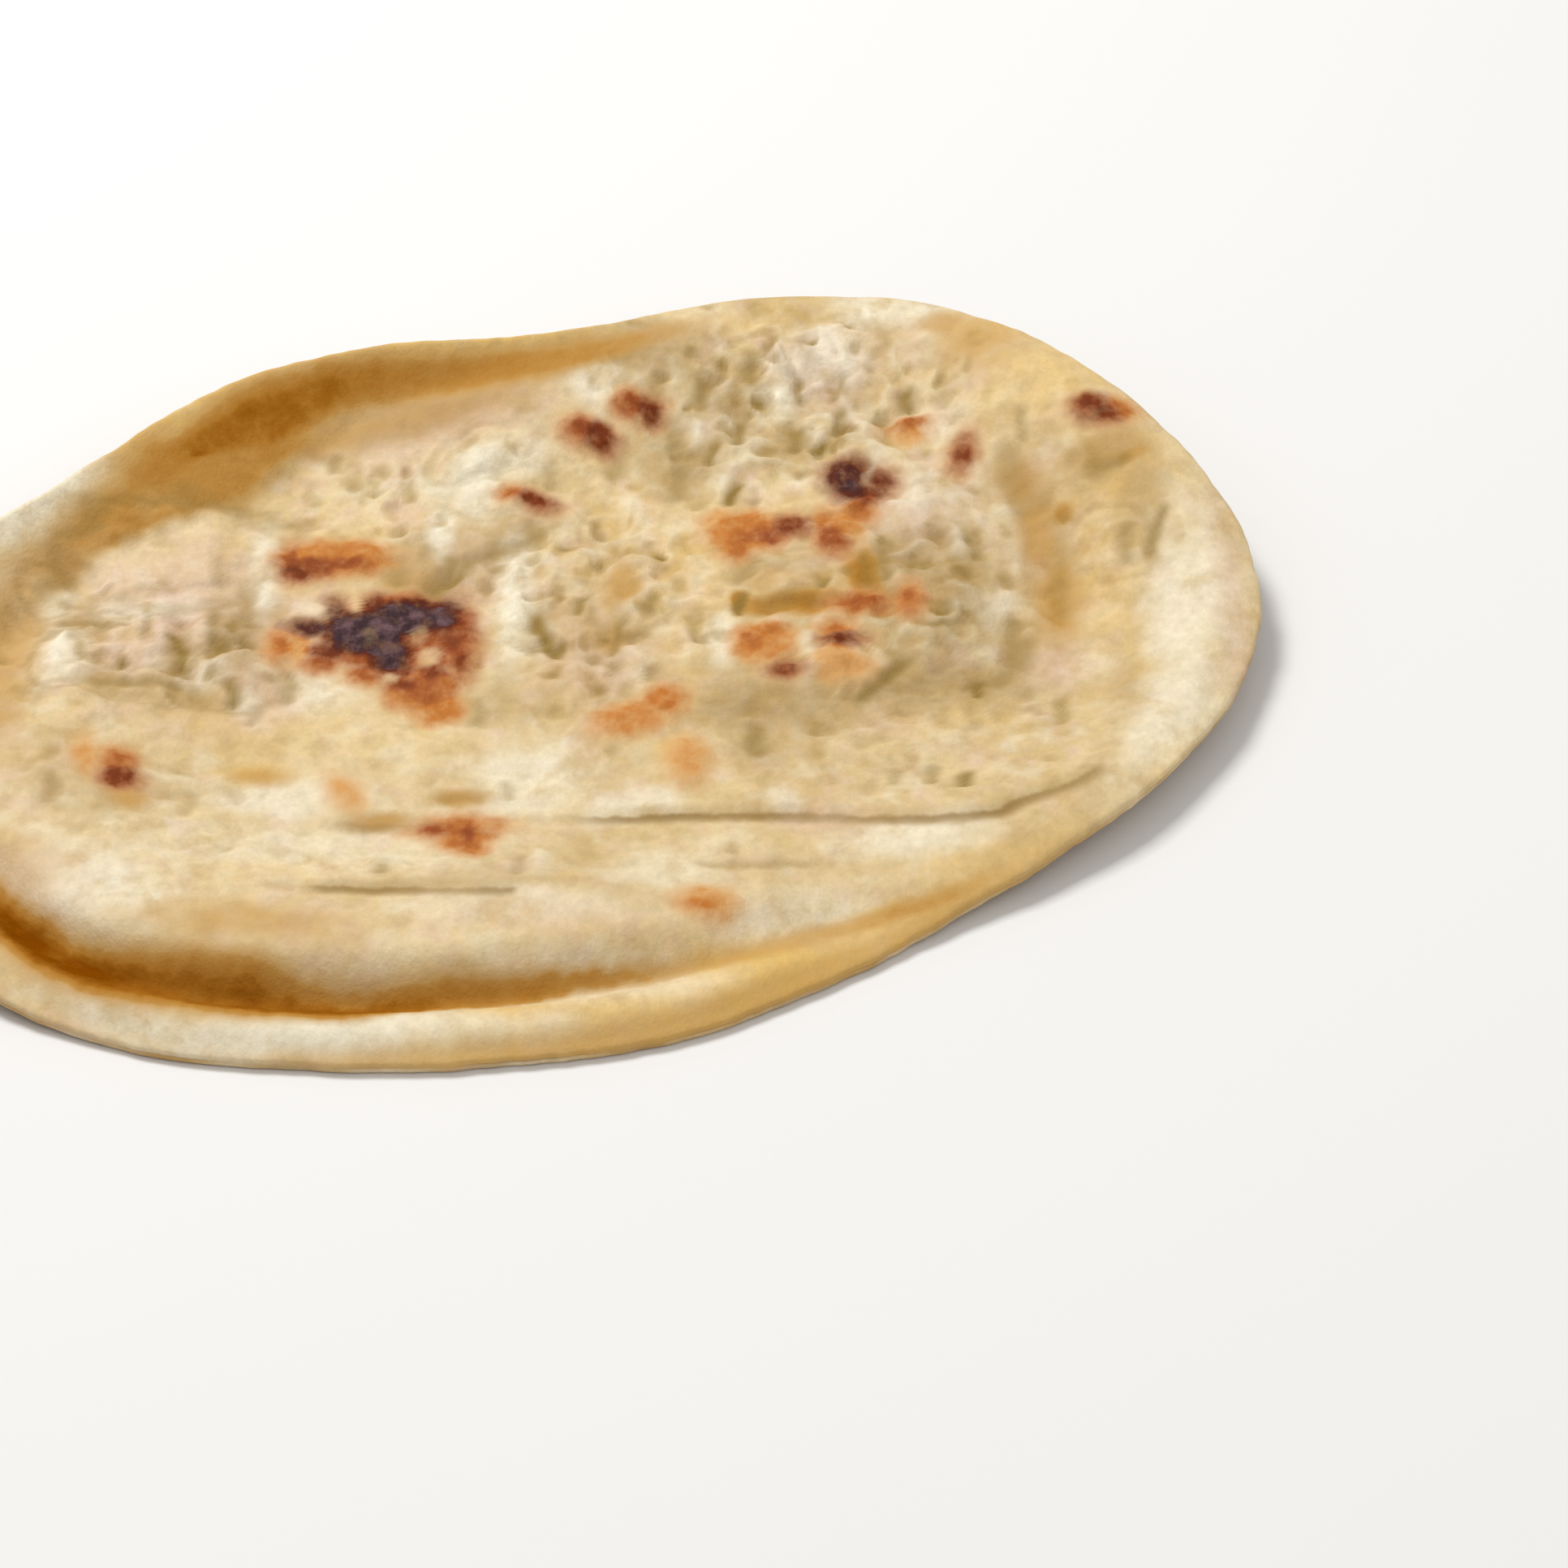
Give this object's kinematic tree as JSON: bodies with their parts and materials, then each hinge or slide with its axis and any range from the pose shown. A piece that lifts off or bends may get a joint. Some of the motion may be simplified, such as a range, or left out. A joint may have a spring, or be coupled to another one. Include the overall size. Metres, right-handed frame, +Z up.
{
  "type": "paratha",
  "caption": "Plain pan-fried paratha, a thin uneven oval flatbread with a curled rim, a puffed middle and a rolled fold along one side.",
  "frame": {"origin": "on the resting surface, below the middle of the bread's box", "axes": "+Z up through the thickness of the bread, +X to its right and +Y to its back as it is served"},
  "size_m": [0.1704, 0.1576, 0.0121],
  "materials": {
    "crust": "cooked wheat dough, pale cream with golden, brown and charred spots, dry and slightly oiled"
  },
  "bodies": {
    "root": {"paratha": "crust"}
  },
  "joints": []
}
